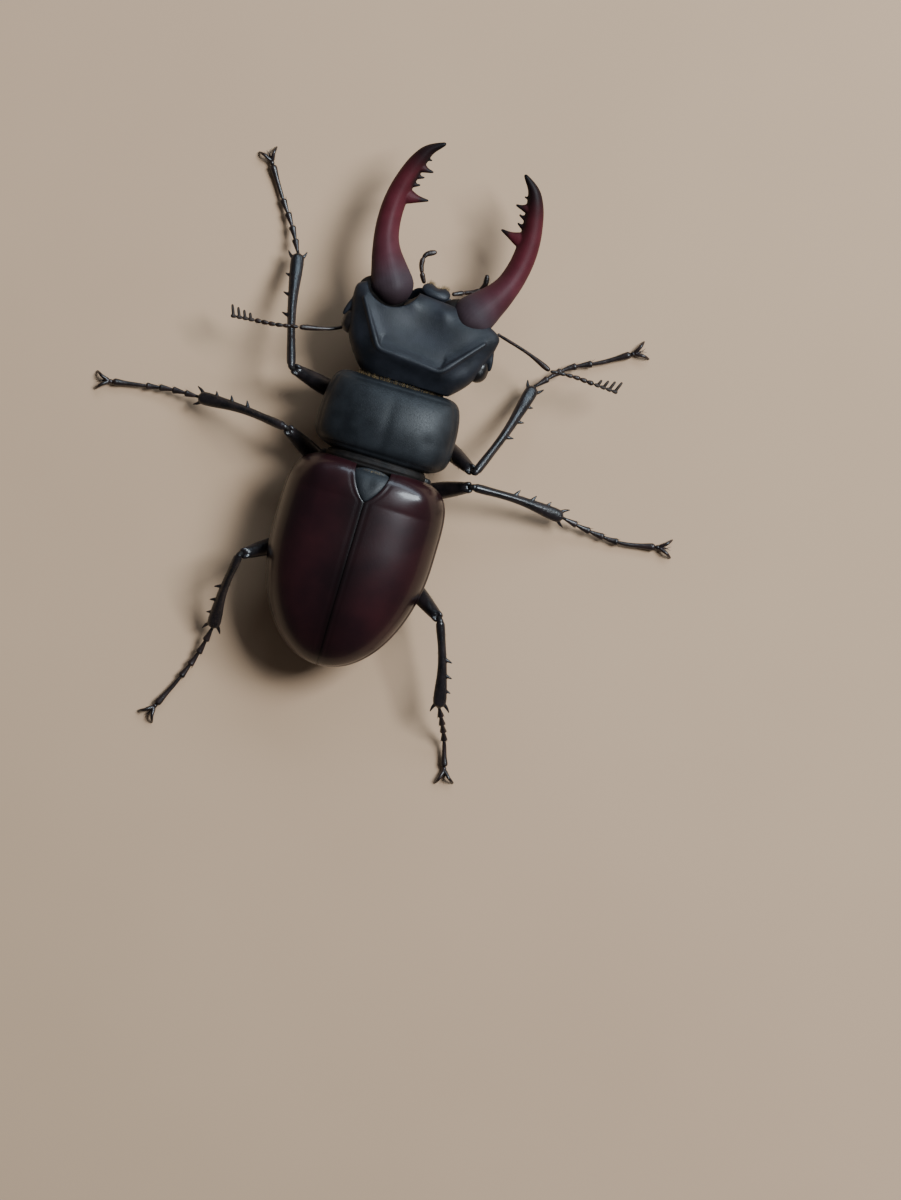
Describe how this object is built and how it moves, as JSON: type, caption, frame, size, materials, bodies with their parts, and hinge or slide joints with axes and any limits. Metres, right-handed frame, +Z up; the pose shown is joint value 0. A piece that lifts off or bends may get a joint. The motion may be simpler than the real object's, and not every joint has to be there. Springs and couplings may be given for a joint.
{
  "type": "stag beetle",
  "caption": "Large male stag beetle, still and life size, standing spread on a floor: antler-like jaws open, broad head, elbowed feelers, domed wing cases, spined legs with hooked feet.",
  "frame": {"origin": "middle of the outer box, on the floor under the beetle", "axes": "the beetle looks along -Y, its left side is +X, and +Z is up"},
  "size_m": [0.0806, 0.0846, 0.015],
  "materials": {
    "head_shell": "satin, finely grained, black with a blue-grey sheen",
    "front_shield": "satin, finely pitted, black with a blue-grey sheen",
    "wing_case": "glossy, very dark chestnut",
    "jaw": "glossy dark red, blackening to the teeth and points",
    "mouth_plate": "satin, dark brown",
    "underside": "satin, dark brown, thinly haired",
    "belly": "glossy, dark brown",
    "leg": "glossy, black",
    "foot": "glossy, black-brown",
    "feeler": "satin, dark brown",
    "feeler_club": "matt, grey-brown",
    "eye": "glossy, black-brown"
  },
  "bodies": {
    "root": {"head": "head_shell", "jaw_left": "jaw", "eye_left": "eye", "mouth_feeler_left": "feeler", "feeler_shaft_left": "feeler", "feeler_beads_left": "feeler", "feeler_club_left": "feeler_club", "wing_case_left": "wing_case", "jaw_right": "jaw", "eye_right": "eye", "mouth_feeler_right": "feeler", "feeler_shaft_right": "feeler", "feeler_beads_right": "feeler", "feeler_club_right": "feeler_club", "wing_case_right": "wing_case", "lip": "mouth_plate", "chin_plate": "mouth_plate", "neck_shield": "front_shield", "breast": "underside", "mid_chest": "underside", "hind_chest": "underside", "belly": "belly", "scutellum": "front_shield", "root_fore_left": "leg", "thigh_fore_left": "leg", "shin_fore_left": "leg", "foot_fore_left": "foot", "claws_fore_left": "foot", "root_fore_right": "leg", "thigh_fore_right": "leg", "shin_fore_right": "leg", "foot_fore_right": "foot", "claws_fore_right": "foot", "root_middle_left": "leg", "thigh_middle_left": "leg", "shin_middle_left": "leg", "foot_middle_left": "foot", "claws_middle_left": "foot", "root_middle_right": "leg", "thigh_middle_right": "leg", "shin_middle_right": "leg", "foot_middle_right": "foot", "claws_middle_right": "foot", "root_hind_left": "leg", "thigh_hind_left": "leg", "shin_hind_left": "leg", "foot_hind_left": "foot", "claws_hind_left": "foot", "root_hind_right": "leg", "thigh_hind_right": "leg", "shin_hind_right": "leg", "foot_hind_right": "foot", "claws_hind_right": "foot"}
  },
  "joints": []
}
